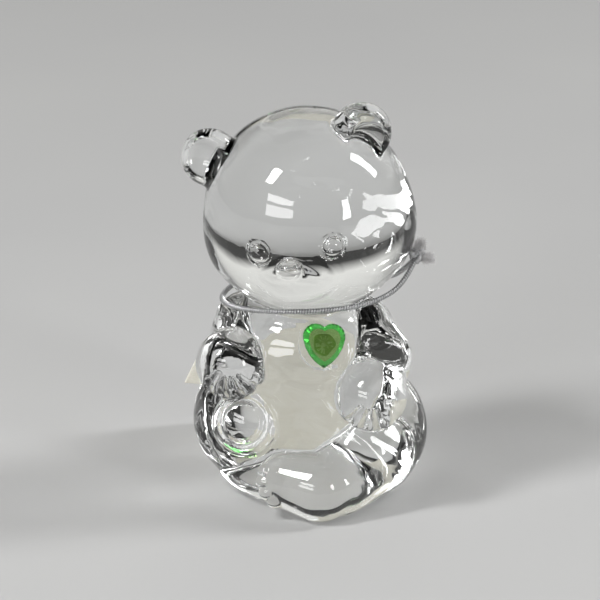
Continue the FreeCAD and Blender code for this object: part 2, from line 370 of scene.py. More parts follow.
def wound_tube(line, radius, pitch, depth, around=14, per_turn=7):
    """(points, faces) of a thread wound closely round a line, with a rounded ridge for each turn."""
    places, points, _, sides, others = evenly(line, pitch / per_turn)
    angles = np.linspace(0, 2 * math.pi, around, endpoint=False)
    turn = places[:, None] / pitch * math.pi + angles[None, :] / 2
    radii = radius - depth * (1 - np.abs(np.cos(turn)))
    radii[0] *= 0.75
    radii[-1] *= 0.75
    across = np.cos(angles)[None, :, None] * sides[:, None]
    upwards = np.sin(angles)[None, :, None] * others[:, None]
    rings = points[:, None] + (across + upwards) * radii[:, :, None]
    return [Vector(p) for p in rings.reshape(-1, 3)], tube_faces(len(points), around)


def strand_seat(neighbour):
    return KNOT_AT + (neighbour - KNOT_AT).normalized() * KNOT_SEAT


def cord_line():
    route = [strand_seat(CORD_ROUTE[0])] + CORD_ROUTE + [strand_seat(CORD_ROUTE[-1])]
    return spline_line(moved(route))


def knot_line():
    """An overhand knot pulled tight: the closed line crosses itself three times."""
    turn = UP.rotation_difference(KNOT_FACES).to_matrix()
    count = 36
    control = []
    for k in range(count):
        t = 2 * math.pi * k / count
        flat = Vector((math.sin(t) + 2 * math.sin(2 * t), math.cos(t) - 2 * math.cos(2 * t), 0)) * KNOT_SIZE
        control.append(KNOT_AT + turn @ (flat + UP * (-math.sin(3 * t) * KNOT_RISE)))
    return spline_line(moved(control), closed=True, resolution=6)


def fibre(start, way, length, radius, rng):
    """(points, faces) of one fine loose fibre, three-sided, that bends as it goes."""
    at = start.copy()
    heading = way.copy()
    bend = Vector((rng.uniform(-1, 1), rng.uniform(-1, 1), rng.uniform(-1, 1))) * FIBRE_CURL
    points = []
    steps = 6
    corners = 3
    for j in range(steps + 1):
        side = heading.cross(Vector((0.31, 0.77, 0.55))).normalized()
        other = heading.cross(side)
        thin = radius * (1 - 0.5 * j / steps)
        for k in range(corners):
            angle = 2 * math.pi * k / corners
            points.append(at + (side * math.cos(angle) + other * math.sin(angle)) * thin)
        at = at + heading * (length / steps)
        heading = (heading + bend).normalized()
    return points, tube_faces(steps + 1, corners)


def frayed_end(name, way, seed):
    """A cut cord end: a short wound stub whose yarn has come apart into a tuft."""
    rng = random.Random(seed)
    way = way.normalized()
    start = KNOT_AT + way * KNOT_SEAT - OUTLINE_MIDDLE
    stub_end = start + way * STUB_LENGTH
    stub = spline_line([start, start + way * 0.0004, stub_end], resolution=8)
    groups = [wound_tube(stub, CORD_DIAMETER * 0.5, YARN_PITCH, YARN_DEPTH)]
    for _ in range(FIBRE_COUNT):
        aside = Vector((rng.gauss(0, 1), rng.gauss(0, 1), rng.gauss(0, 1))).normalized()
        heading = (way + aside * rng.uniform(0.15, 1.2)).normalized()
        root = stub_end - way * rng.uniform(-0.0006, 0.0008) + aside * rng.uniform(0, 0.0006)
        length = rng.uniform(*FIBRE_LENGTHS)
        radius = rng.uniform(*FIBRE_RADII)
        groups.append(fibre(root, heading, length, radius, rng))
    return joined(name, groups)


def add_cord():
    """The wound cord, its rubber core, the knot and the two frayed ends. Returns them by name."""
    line = cord_line()
    yarn_tube = wound_tube(line, CORD_DIAMETER / 2, YARN_PITCH, YARN_DEPTH)
    core_tube = wound_tube(line, CORE_DIAMETER / 2, 0.002, 0.0, around=10, per_turn=5)
    knot_tube = wound_tube(knot_line(), KNOT_RADIUS, YARN_PITCH, YARN_DEPTH)
    winding = joined("cord_yarn_winding", [yarn_tube])
    core = joined("cord_elastic_core", [core_tube])
    knot = joined("cord_overhand_knot", [knot_tube])
    upper = frayed_end("cord_frayed_end_upper", UPPER_TAIL_WAY, seed=5)
    side = frayed_end("cord_frayed_end_side", SIDE_TAIL_WAY, seed=11)
    pairs = [
        (winding, "cord_winding", "silver_yarn"),
        (core, "cord_core", "elastic"),
        (knot, "cord_knot", "silver_yarn"),
        (upper, "cord_tail_upper", "silver_yarn"),
        (side, "cord_tail_side", "silver_yarn"),
    ]
    for piece, node, slot_name in pairs:
        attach(piece, "cord")
        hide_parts(node)
    return {"line": line, "winding": winding, "core": core, "knot": knot, "upper": upper, "side": side}


# Distance fields: each takes points as rows and gives their distance outside (+) or inside (-) a shape

def lengths(v):
    return np.sqrt((v * v).sum(axis=1))


def ball(p, at, radius):
    return lengths(p - np.array(at)) - radius


def ellipsoid(p, at, radii, turn=None):
    q = p - np.array(at)
    if turn is not None:
        q = q @ turn
    radii = np.array(radii)
    scaled = lengths(q / radii)
    steep = lengths(q / radii ** 2) + 1e-12
    return scaled * (scaled - 1.0) / steep


def limb(p, start, start_radius, end, end_radius):
    """Two balls and the cone that is tangent to both."""
    start, end = np.array(start), np.array(end)
    way = end - start
    squared = way @ way
    taper = start_radius - end_radius
    slant = squared - taper * taper
    from_start = p - start
    along = from_start @ way
    past = along - squared
    across = from_start * squared - along[:, None] * way
    across = (across * across).sum(axis=1)
    edge = np.sign(taper) * taper * taper * across
    cone = (np.sqrt(across * slant / squared) + along * taper) / squared - start_radius
    near_start = np.sqrt(across + along * along * squared) / squared - start_radius
    near_end = np.sqrt(across + past * past * squared) / squared - end_radius
    found = np.where(np.sign(along) * slant * along * along * squared < edge, near_start, cone)
    return np.where(np.sign(past) * slant * past * past * squared > edge, near_end, found)


def blended(a, b, size):
    """Both shapes, with a fillet of about this size where they meet."""
    near = np.maximum(size - np.abs(a - b), 0) / size
    return np.minimum(a, b) - near * near * size / 4


def carved(a, b, size):
    """The first shape without the second, with the edge rounded by about this size."""
    return -blended(-a, b, size)


def ring(p, at, way, radius, thick):
    """A round rod of this thickness bent into a ring round way."""
    way = np.array(Vector(way).normalized())
    q = p - np.array(at)
    height = q @ way
    reach = lengths(q - height[:, None] * way)
    return np.sqrt((reach - radius) ** 2 + height ** 2) - thick


def turn_about_y(degrees):
    return np.array(Matrix.Rotation(math.radians(degrees), 3, "Y"))


def facing(direction):
    """The rotation that takes -Y to direction with the least roll."""
    return Vector((0, -1, 0)).rotation_difference(Vector(direction)).to_matrix()


def toe_way(polar, angle):
    """A way off a paw's face, polar degrees from it and angle degrees round from its lowest side."""
    face = Vector(TOE_FACE).normalized()
    side = face.cross(-UP).normalized()
    down = side.cross(face)
    a, p = math.radians(angle), math.radians(polar)
    return face * math.cos(p) + (down * math.cos(a) + side * math.sin(a)) * math.sin(p)


def toes(p, centre, reach, angles, polar, radius):
    """Round toes side by side along the edge of a paw or foot."""
    found = None
    for angle in angles:
        toe = ball(p, Vector(centre) + toe_way(polar, angle) * reach, radius)
        found = toe if found is None else np.minimum(found, toe)
    return found


def paw(p, centre, angles, twist):
    """A round paw with a toe at each angle and a long groove between each two toes."""
    edge = toes(p, centre, PAW_RADIUS - TOE_INSET, angles, 64, TOE_RADIUS)
    shape = blended(ball(p, centre, PAW_RADIUS), edge, PAW_FILLET)
    for before, after in zip(angles, angles[1:]):
        middle = (before + after) / 2
        outer = Vector(centre) + toe_way(82, middle) * (PAW_RADIUS + 0.0006)
        knuckle = Vector(centre) + toe_way(56, middle - twist * 0.5) * (PAW_RADIUS + 0.0008)
        inner = Vector(centre) + toe_way(27, middle - twist) * (PAW_RADIUS + 0.0002)
        front = limb(p, outer, 0.0007, knuckle, 0.0008)
        back = limb(p, knuckle, 0.0008, inner, 0.0003)
        shape = carved(shape, np.minimum(front, back), GROOVE_EDGE)
    return shape


def head_field(p):
    turn = turn_about_y(-HEAD_ROLL)
    q = (p - np.array(HEAD_AT)) @ turn
    skull = ball(q, (0, 0, 0), HEAD_RADIUS)
    face = blended(skull, ellipsoid(q, CHEEK_AT, CHEEK_RADII), CHEEK_FILLET)
    face = blended(face, ellipsoid(q, MUZZLE_AT, MUZZLE_RADII), MUZZLE_FILLET)
    face = blended(face, ellipsoid(q, NOSE_AT, NOSE_RADII), NOSE_FILLET)
    for side in (-1, 1):
        eye_at = Vector((side * EYE_AT[0], EYE_AT[1], EYE_AT[2]))
        groove_at = eye_at.normalized() * EYE_GROOVE_HEIGHT
        groove = ring(q, groove_at, eye_at, EYE_RADIUS + 0.0002, EYE_GROOVE_THICK)
        face = blended(face, ball(q, eye_at, EYE_RADIUS), EYE_FILLET)
        face = carved(face, groove, EYE_FILLET)
    philtrum = limb(q, PHILTRUM_TOP_AT, PHILTRUM_RADIUS, MOUTH_FORK_AT, MOUTH_END_RADIUS)
    face = carved(face, philtrum, GROOVE_EDGE)
    for side in (-1, 1):
        corner = (NOSE_AT[0] + side * MOUTH_CORNER_AT[0], *MOUTH_CORNER_AT[1:])
        mouth_line = limb(q, MOUTH_FORK_AT, MOUTH_RADIUS, corner, MOUTH_END_RADIUS)
        face = carved(face, mouth_line, GROOVE_EDGE)
    return face


def ear_field(p, at, lean, dish_faces):
    way = Vector(dish_faces).normalized()
    shape = ellipsoid(p, at, EAR_RADII, turn_about_y(lean))
    dish = ball(p, Vector(at) + way * (EAR_DISH_RADIUS + EAR_DISH_GAP), EAR_DISH_RADIUS)
    return carved(shape, dish, DISH_EDGE)


def arms_field(p):
    right = limb(p, RIGHT_SHOULDER_AT, SHOULDER_RADIUS, RIGHT_PAW_AT, WRIST_RADIUS)
    right = blended(right, paw(p, RIGHT_PAW_AT, RIGHT_PAW_TOES, RIGHT_PAW_TWIST), 0.0005)
    upper = limb(p, LEFT_SHOULDER_AT, SHOULDER_RADIUS, LEFT_ELBOW_AT, ELBOW_RADIUS)
    lower = limb(p, LEFT_ELBOW_AT, FOREARM_RADIUS, LEFT_PAW_AT, WRIST_RADIUS)
    left = blended(upper, lower, ELBOW_FILLET)
    left = blended(left, paw(p, LEFT_PAW_AT, LEFT_PAW_TOES, 0), PAW_FILLET)
    return np.minimum(right, left)


def raised_leg_field(p):
    """The bear's right leg, drawn up so that its sole faces forward, with a ring round the pad."""
    way = Vector(SOLE_FACES).normalized()
    heel = Vector(SOLE_AT) - way * 0.003
    leg = limb(p, RIGHT_THIGH_AT, RIGHT_THIGH_RADIUS, heel, RIGHT_HEEL_RADIUS)
    sole = ellipsoid(p, SOLE_AT, (SOLE_RADIUS, 0.004, SOLE_RADIUS), np.array(facing(way)))
    leg = blended(leg, sole, 0.0008)
    groove = ring(p, Vector(SOLE_AT) + way * 0.0031, way, PAD_RADIUS + 0.0009, 0.0008)
    return carved(leg, groove, GROOVE_EDGE)


def lying_leg_field(p):
    """The bear's left leg, which lies on the table and crosses in front of the body."""
    shin = limb(p, LEFT_KNEE_AT, LEFT_KNEE_RADIUS, LEFT_ANKLE_AT, LEFT_ANKLE_RADIUS)
    foot = limb(p, LEFT_HEEL_AT, LEFT_HEEL_RADIUS, FOOT_END_AT, FOOT_END_RADIUS)
    leg = blended(shin, foot, LIMB_FILLET)
    return blended(leg, toes(p, FOOT_END_AT, 0.0056, FOOT_TOES, 66, TOE_RADIUS), 0.0006)


def ripple(p):
    """The soft unevenness of fire-polished pressed glass: broad waves and finer flow lines."""
    waves = np.sin(p @ np.array((510.0, 230.0, 370.0)))
    waves += np.sin(p @ np.array((-260.0, 640.0, 190.0)) + 1.3)
    waves += np.sin(p @ np.array((330.0, -290.0, 560.0)) + 2.1)
    flow = np.sin(p @ np.array((420.0, 300.0, 1350.0)) + 1.6 * waves)
    return waves * WAVE_HEIGHT + flow * FLOW_HEIGHT


def gem_flat_field(p):
    """What is cut away over the round flat that is sunk into the chest for the stone."""
    way = np.array(GEM_FACES.normalized())
    from_flat = p - np.array(GEM_SURFACE_AT - GEM_FACES.normalized() * FLAT_DEPTH)
    above = from_flat @ way
    aside = lengths(from_flat - above[:, None] * way)
    return np.maximum(-above, aside - FLAT_RADIUS)


def bear_field(p):
    """The whole casting."""
    body = ellipsoid(p, TORSO_AT, TORSO_RADII)
    for at, radii, fillet in (
        (CHEST_AT, CHEST_RADII, TORSO_FILLET),
        (SEAT_AT, SEAT_RADII, TORSO_FILLET),
        (RIGHT_HAUNCH_AT, RIGHT_HAUNCH_RADII, HAUNCH_FILLET),
        (LEFT_HAUNCH_AT, LEFT_HAUNCH_RADII, HAUNCH_FILLET),
    ):
        body = blended(body, ellipsoid(p, at, radii), fillet)
    for limb_field in (raised_leg_field, lying_leg_field, arms_field):
        body = blended(body, limb_field(p), LIMB_FILLET)
    head = head_field(p)
    for ear in (RIGHT_EAR, LEFT_EAR):
        head = blended(head, ear_field(p, *ear), EAR_FILLET)
    body = blended(body, head, NECK_FILLET) + ripple(p)
    body = carved(body, gem_flat_field(p), FLAT_EDGE)
    return -blended(-body, p[:, 2], BASE_FILLET)


# Drawing a field's surface

def field_on_grid(field, low, counts, step, block=4):
    """The field on a grid: point by point near the surface, and by whole blocks elsewhere."""
    blocks = [int(math.ceil(n / block)) for n in counts]
    spots = np.stack(np.meshgrid(*[np.arange(n) for n in blocks], indexing="ij"), axis=-1).reshape(-1, 3)
    middles = low + (spots * block + (block - 1) / 2) * step
    rough = field(middles)
    values = np.repeat(rough.reshape(blocks), block, axis=0)
    values = np.repeat(values, block, axis=1)
    values = np.repeat(values, block, axis=2)
    near = spots[np.abs(rough) < block * step * 1.25] * block
    inner = np.stack(np.meshgrid(*[np.arange(block)] * 3, indexing="ij"), axis=-1).reshape(-1, 3)
    fine = (near[:, None, :] + inner[None, :, :]).reshape(-1, 3)
    values[fine[:, 0], fine[:, 1], fine[:, 2]] = field(low + fine * step)
    return values


def surface_points(values, low, step):
    """One point in each cell that the surface crosses, and the number of each such cell."""
    inside = values < 0
    shape = np.array(values.shape) - 1
    corners = [(i, j, k) for i in (0, 1) for j in (0, 1) for k in (0, 1)]
    total = np.zeros(shape, np.int8)
    for i, j, k in corners:
        total += inside[i:i + shape[0], j:j + shape[1], k:k + shape[2]]
    cells = np.argwhere((total > 0) & (total < 8))
    numbers = np.full(shape, -1, np.int64)
    numbers[cells[:, 0], cells[:, 1], cells[:, 2]] = np.arange(len(cells))
    sums = np.zeros((len(cells), 3))
    count = np.zeros(len(cells))
    for a in corners:
        for axis in range(3):
            if a[axis] == 1:
                continue
            b = list(a)
            b[axis] = 1
            start = cells + np.array(a)
            end = cells + np.array(b)
            va = values[start[:, 0], start[:, 1], start[:, 2]]
            vb = values[end[:, 0], end[:, 1], end[:, 2]]
            crossed = (va < 0) != (vb < 0)
            share = np.where(crossed, va / np.where(crossed, va - vb, 1), 0)
            place = np.array(a, float) + share[:, None] * (np.array(b) - np.array(a))
            sums += place * crossed[:, None]
            count += crossed
    return low + (cells + sums / count[:, None]) * step, numbers


def surface_faces(values, numbers):
    """A quad for each grid edge that the surface crosses, facing outwards."""
    inside = values < 0
    faces = []
    for axis in range(3):
        second, third = (axis + 1) % 3, (axis + 2) % 3
        low_end = np.take(inside, range(inside.shape[axis] - 1), axis=axis)
        high_end = np.take(inside, range(1, inside.shape[axis]), axis=axis)
        crossed = np.argwhere(low_end != high_end)
        out = inside[crossed[:, 0], crossed[:, 1], crossed[:, 2]]
        corners = []
        for b, c in ((-1, -1), (0, -1), (0, 0), (-1, 0)):
            cell = crossed.copy()
            cell[:, second] += b
            cell[:, third] += c
            corners.append(numbers[cell[:, 0], cell[:, 1], cell[:, 2]])
        quads = np.stack(corners, axis=1)
        quads[~out] = quads[~out][:, ::-1]
        faces.append(quads)
    return np.concatenate(faces)


def slopes(field, points, reach=0.00004):
    """The field's slope at each point, from four samples round it."""
    ways = np.array([(1, -1, -1), (-1, -1, 1), (-1, 1, -1), (1, 1, 1)], float)
    total = np.zeros_like(points)
    for way in ways:
        total += way * field(points + way * reach)[:, None]
    return total / (4 * reach)


def field_surface(name, field, low, high, step):
    """A closed mesh of the field's surface, with its points settled on it and its normals from it."""
    counts = [int(math.ceil((b - a) / step)) + 1 for a, b in zip(low, high)]
    values = field_on_grid(field, low, counts, step)
    points, numbers = surface_points(values, low, step)
    faces = surface_faces(values, numbers)
    for _ in range(3):
        slope = slopes(field, points)
        steep = (slope * slope).sum(axis=1) + 1e-9
        shift = slope * (field(points) / steep)[:, None]
        size = lengths(shift) + 1e-12
        points = points - shift * np.minimum(1, 0.6 * step / size)[:, None]
    normals = slopes(field, points)
    normals /= lengths(normals)[:, None] + 1e-12
    mesh = bpy.data.meshes.new(name)
    mesh.vertices.add(len(points))
    mesh.vertices.foreach_set("co", (points - np.array(OUTLINE_MIDDLE)).astype(np.float32).ravel())
    mesh.loops.add(faces.size)
    mesh.loops.foreach_set("vertex_index", faces.astype(np.int32).ravel())
    mesh.polygons.add(len(faces))
    mesh.polygons.foreach_set("loop_start", np.arange(0, faces.size, 4, dtype=np.int32))
    mesh.polygons.foreach_set("use_smooth", np.ones(len(faces), bool))
    mesh.update(calc_edges=True)
    mesh.validate()
    mesh.normals_split_custom_set_from_vertices(normals.tolist())
    piece = bpy.data.objects.new(name, mesh)
    bpy.context.scene.collection.objects.link(piece)
    return piece


def add_bear():
    low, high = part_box("glass_bear")
    room = Vector((1, 1, 1)) * 0.002
    low = np.array(low + OUTLINE_MIDDLE - room)
    high = np.array(high + OUTLINE_MIDDLE + room)
    bear = field_surface("pressed_glass_bear", bear_field, low, high, GRID_STEP)
    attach(bear, "figurine")
    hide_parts("glass_bear")
    return bear


def wear_ground_base(bear, material):
    """The flat underside wears its own material, as it is ground and not polished."""
    bear.data.materials.append(material)
    for face in bear.data.polygons:
        if face.normal.z < -0.9 and face.center.z < BASE_LEVEL:
            face.material_index = 1


# Gem

def arc_points(a, b, c, count):
    """count points from a towards c on the arc through b, without c, in the plane of x and z."""
    ax, az, bx, bz, cx, cz = a[0], a[1], b[0], b[1], c[0], c[1]
    d = 2 * (ax * (bz - cz) + bx * (cz - az) + cx * (az - bz))
    sa, sb, sc = ax * ax + az * az, bx * bx + bz * bz, cx * cx + cz * cz
    middle = Vector((
        (sa * (bz - cz) + sb * (cz - az) + sc * (az - bz)) / d,
        (sa * (cx - bx) + sb * (ax - cx) + sc * (bx - ax)) / d,
    ))
    radius = (Vector(a) - middle).length
    start = math.atan2(az - middle.y, ax - middle.x)
    via = math.atan2(bz - middle.y, bx - middle.x)
    end = math.atan2(cz - middle.y, cx - middle.x)
    sweep = (end - start) % (2 * math.pi)
    if (via - start) % (2 * math.pi) > sweep:
        sweep -= 2 * math.pi
    return [
        middle + Vector((math.cos(start + sweep * k / count), math.sin(start + sweep * k / count))) * radius
        for k in range(count)
    ]


def heart_outline(lobe_count=7, side_count=4):
    """The heart from its cleft round by its left side: two round lobes and two full sides to a point."""
    half = GEM_WIDTH / 2
    top = GEM_HEIGHT * 0.46
    cleft = (0, top - half * 0.14)
    tip = (0, top - GEM_HEIGHT)
    crest = (half * 0.55, top)
    flank = (half, top - half * 0.7)
    belly = ((flank[0] + tip[0]) / 2 + half * 0.17, (flank[1] + tip[1]) / 2 - half * 0.12)
    one = arc_points(cleft, crest, flank, lobe_count)
    one += arc_points(flank, belly, tip, side_count)
    one.append(Vector(tip))
    other = [Vector((-p.x, p.y)) for p in reversed(one[1:-1])]
    return one + other


def gem_matrix():
    way = GEM_FACES.normalized()
    return Matrix.Translation(GEM_SURFACE_AT - way * FLAT_DEPTH - OUTLINE_MIDDLE) @ facing(way).to_4x4()


def half_steps(outline):
    return [(a + b) / 2 for a, b in zip(outline, outline[1:] + outline[:1])]


def gem_levels(outline):
    """Rings of points from the stone's flat back to its table."""
    between = half_steps(outline)
    back = -GLUE_THICK
    girdle_low = back - GEM_PAVILION
    girdle_high = girdle_low - GEM_GIRDLE
    slope_break = girdle_high - GEM_CROWN * GEM_BREAK_HEIGHT
    front = girdle_high - GEM_CROWN
    return [
        [(p.x * GEM_BACK, back, p.y * GEM_BACK) for p in between],
        [(p.x, girdle_low, p.y) for p in outline],
        [(p.x, girdle_high, p.y) for p in outline],
        [(p.x * GEM_BREAK, slope_break, p.y * GEM_BREAK) for p in between],
        [(p.x * GEM_TABLE, front, p.y * GEM_TABLE) for p in outline],
    ]


def gem_facets(n):
    """The flat back, the facets round the stone, n to a level, and the table."""
    faces = [tuple(range(n))]
    for k in range(n):
        after = (k + 1) % n
        b, lo, hi, mid, tab = [level * n + k for level in range(5)]
        b2, lo2, hi2, mid2, tab2 = [level * n + after for level in range(5)]
        faces += [
            (b, lo, lo2),
            (b, lo2, b2),
            (lo, hi, hi2, lo2),
            (hi, mid, hi2),
            (mid, tab, tab2),
            (hi2, mid, tab2),
            (hi2, tab2, mid2),
        ]
    faces.append(tuple(range(4 * n, 5 * n))[::-1])
    return faces


def add_gem():
    """A heart stone: flat back, pavilion, girdle, a crown of three-sided facets and a flat table."""
    outline = heart_outline()
    place = gem_matrix()
    points = [place @ Vector(p) for level in gem_levels(outline) for p in level]
    gem = new_mesh("heart_stone", points, gem_facets(len(outline)), smooth=False)
    face_outwards(gem)
    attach(gem, "figurine")
    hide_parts("heart_gem")
    return gem


def face_outwards(piece):
    work = bmesh.new()
    work.from_mesh(piece.data)
    bmesh.ops.recalc_face_normals(work, faces=work.faces)
    work.to_mesh(piece.data)
    work.free()


def add_glue():
    """The squeezed-out patch of glue behind the stone."""
    around = 48
    profile = [(0.35, 0.0), (0.8, 0.0), (0.97, 0.25), (1.0, 0.5), (0.97, 0.75), (0.8, 1.0), (0.35, 1.0)]
    place = gem_matrix()
    points = []
    for share, depth in profile:
        for k in range(around):
            angle = 2 * math.pi * k / around
            wobble = 1 + 0.06 * math.sin(3 * angle + 0.6) + 0.045 * math.sin(5 * angle + 2.0) - 0.1
            reach = GLUE_RADIUS * share * (1 + (wobble - 1) * share)
            at = Vector((reach * math.cos(angle), -GLUE_THICK * depth, reach * math.sin(angle)))
            points.append(place @ at)
    glue = new_mesh("glue_patch", points, tube_faces(len(profile), around))
    face_outwards(glue)
    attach(glue, "figurine")
    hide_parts("gem_adhesive")
    return glue


# Hang tag

def tag_frame():
    """The card's hole, its long and short ways and the way its back faces, at rest."""
    hinge = next(j for j in frame["joints"] if j["name"] == "tag_swing")
    hinge_at = Vector(hinge["pos_m"])
    lean = math.radians(TAG_LEAN)
    outward = Vector((0, 1, 0))
    along = Vector((-1, 0, 0))
    down = outward * math.sin(lean) - UP * math.cos(lean)
    swing = math.atan2(TAG_SHORT / 2 - HOLE_INSET, TAG_LONG / 2 - HOLE_INSET)
    long_way = down * math.cos(swing) + along * math.sin(swing)
    short_way = down * math.sin(swing) - along * math.cos(swing)
    return hinge_at + down * HANG_DROP, long_way, short_way, long_way.cross(short_way)


def card_bow(u, v):
    """How far the card stands off flat at u along it and v across it: a slight bow and a lifted corner."""
    bow = CARD_BOW * math.sin(math.pi * u / TAG_LONG) * (1 - 0.4 * v / TAG_SHORT)
    corner = max(0.0, (u / TAG_LONG) * 0.9 + (1 - v / TAG_SHORT) * 0.35 - 0.95)
    return CARD_CURL * corner * corner - bow


def card_grid():
    """Points (u, v) and quads of a rectangle with a round hole, in rows that close round the hole."""
    block = 2 * HOLE_INSET
    split = 8
    long_count = 40
    short_count = 22
    us = [block * k / split for k in range(split)]
    us += [block + (TAG_LONG - block) * k / long_count for k in range(long_count + 1)]
    vs = [block * k / split for k in range(split)]
    vs += [block + (TAG_SHORT - block) * k / short_count for k in range(short_count + 1)]
    points, number = [], {}
    for i, u in enumerate(us):
        for j, v in enumerate(vs):
            if 0 < i < split and 0 < j < split:
                continue
            number[i, j] = len(points)
            points.append((u, v))
    faces = []
    for i in range(len(us) - 1):
        for j in range(len(vs) - 1):
            if i < split and j < split:
                continue
            faces.append((number[i, j], number[i + 1, j], number[i + 1, j + 1], number[i, j + 1]))
    edge = [(k, 0) for k in range(split)] + [(split, k) for k in range(split)]
    edge += [(split - k, split) for k in range(split)] + [(0, split - k) for k in range(split)]
    close_round_hole(points, faces, [number[e] for e in edge])
    return points, faces


def close_round_hole(points, faces, outer):
    """Adds rows of quads from a square round the hole, given by its points' numbers, to the hole's rim."""
    square = [Vector((points[k][0] - HOLE_INSET, points[k][1] - HOLE_INSET)) for k in outer]
    for share in (0.66, 0.33, 0.0):
        inner = []
        for from_middle in square:
            rim = from_middle.normalized() * HOLE_RADIUS
            at = rim.lerp(from_middle, share)
            inner.append(len(points))
            points.append((at.x + HOLE_INSET, at.y + HOLE_INSET))
        for k in range(len(outer)):
            after = (k + 1) % len(outer)
            faces.append((outer[k], outer[after], inner[after], inner[k]))
        outer = inner


def add_tag():
    hole_at, long_way, short_way, normal = tag_frame()
    flat, faces = card_grid()
    points = []
    for u, v in flat:
        off = (u - HOLE_INSET) * long_way + (v - HOLE_INSET) * short_way
        points.append(hole_at + off + normal * card_bow(u, v))
    tag = new_mesh("card_hang_tag", points, faces)
    thick = tag.modifiers.new("thickness", "SOLIDIFY")
    thick.thickness = TAG_THICK
    thick.offset = 0
    thick.use_even_offset = True
    thick.use_rim = True
    bevel = tag.modifiers.new("worn edge", "BEVEL")
    bevel.width = CARD_EDGE
    bevel.segments = 2
    bevel.limit_method = "ANGLE"
    bevel.angle_limit = math.radians(50)
    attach(tag, "tag")
    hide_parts("hang_tag")
    return tag


# Materials

def new_material(name, **values):
    """A material and its shader. The values are its inputs, with _ for a space in their names."""
    material = bpy.data.materials.new(name)
    material.use_nodes = True
    shader = material.node_tree.nodes["Principled BSDF"]
    for socket, value in values.items():
        shader.inputs[socket.replace("_", " ")].default_value = value
    return material, shader


def noise(material, scale, detail=3.0, rough=0.5, stretch=None):
    tree = material.node_tree
    texture = tree.nodes.new("ShaderNodeTexNoise")
    texture.inputs["Scale"].default_value = scale
    texture.inputs["Detail"].default_value = detail
    texture.inputs["Roughness"].default_value = rough
    place = tree.nodes.new("ShaderNodeTexCoord")
    if stretch is None:
        tree.links.new(place.outputs["Object"], texture.inputs["Vector"])
    else:
        mapping = tree.nodes.new("ShaderNodeMapping")
        mapping.inputs["Scale"].default_value = stretch
        tree.links.new(place.outputs["Object"], mapping.inputs["Vector"])
        tree.links.new(mapping.outputs["Vector"], texture.inputs["Vector"])
    return texture.outputs["Fac"]


def coordinate(owner, space, axis):
    """One coordinate of the place that is shaded, for a material or the world."""
    place = owner.node_tree.nodes.new("ShaderNodeTexCoord")
    parts = owner.node_tree.nodes.new("ShaderNodeSeparateXYZ")
    owner.node_tree.links.new(place.outputs[space], parts.inputs["Vector"])
    return parts.outputs[axis]


def spread(owner, value, low, high, start=0.3, end=0.7):
    """Low where the value is at start or under it, high at end or over it, and even steps between."""
    node = owner.node_tree.nodes.new("ShaderNodeMapRange")
    node.inputs["From Min"].default_value = start
    node.inputs["From Max"].default_value = end
    node.inputs["To Min"].default_value = low
    node.inputs["To Max"].default_value = high
    owner.node_tree.links.new(value, node.inputs["Value"])
    return node.outputs["Result"]


def colours(owner, value, *stops):
    """The colour that belongs to the value, from stops of (value, colour)."""
    node = owner.node_tree.nodes.new("ShaderNodeValToRGB")
    ramp = node.color_ramp
    while len(ramp.elements) < len(stops):
        ramp.elements.new(0.5)
    for element, (place, colour) in zip(ramp.elements, stops):
        element.position = place
        element.color = (*colour, 1)
    owner.node_tree.links.new(value, node.inputs["Fac"])
    return node.outputs["Color"]


def tinted(material, shader, value, *stops):
    material.node_tree.links.new(colours(material, value, *stops), shader.inputs["Base Color"])


def mixed(material, kind, share, first, second, blend="MIX"):
    """The first value or colour, turned into the second by this share. Each may be a socket."""
    tree = material.node_tree
    node = tree.nodes.new("ShaderNodeMix")
    node.data_type = kind
    node.blend_type = blend
    for name, value in (("Factor", share), ("A", first), ("B", second)):
        if isinstance(value, bpy.types.NodeSocket):
            tree.links.new(value, node.inputs[name])
        else:
            node.inputs[name].default_value = value
    return node.outputs["Result"]


def bumped(material, shader, value, strength, height):
    node = material.node_tree.nodes.new("ShaderNodeBump")
    node.inputs["Strength"].default_value = strength
    node.inputs["Distance"].default_value = height
    material.node_tree.links.new(value, node.inputs["Height"])
    material.node_tree.links.new(node.outputs["Normal"], shader.inputs["Normal"])


def wear(piece, material):
    piece.data.materials.clear()
    piece.data.materials.append(material)


def glass_material():
    material, shader = new_material(
        "clear pressed glass",
        Base_Color=CLEAR_GLASS,
        Roughness=0.0,
        IOR=1.52,
        Transmission_Weight=1.0,
    )
    links = material.node_tree.links
    smudges = noise(material, 190.0, detail=4.0, rough=0.6)
    links.new(spread(material, smudges, 0.0, 0.03), shader.inputs["Roughness"])
    return material


def ground_glass_material():
    """Ground on the flat underside and polished again where its rounded edge rises off the table."""
    material, shader = new_material("ground glass", IOR=1.52)
    links = material.node_tree.links
    grain = noise(material, 2400.0, detail=4.0, rough=0.6)
    frost = spread(material, grain, 0.45, 0.65)
    tint = colours(material, grain, (0.3, (0.88, 0.87, 0.83)), (0.7, (0.96, 0.955, 0.93)))
    height = coordinate(material, "Object", "Z")
    polish = spread(material, height, 0.0, 1.0, start=0.00001, end=0.00015)
    links.new(mixed(material, "FLOAT", polish, frost, 0.0), shader.inputs["Roughness"])
    links.new(mixed(material, "FLOAT", polish, 0.5, 1.0), shader.inputs["Transmission Weight"])
    links.new(mixed(material, "RGBA", polish, tint, CLEAR_GLASS), shader.inputs["Base Color"])
    return material


def gem_material(name, pale, deep):
    material, shader = new_material(
        name,
        Roughness=0.01,
        IOR=1.62,
        Transmission_Weight=1.0,
    )
    depth = noise(material, 420.0, detail=2.0)
    tinted(material, shader, depth, (0.3, deep), (0.7, pale))
    return material


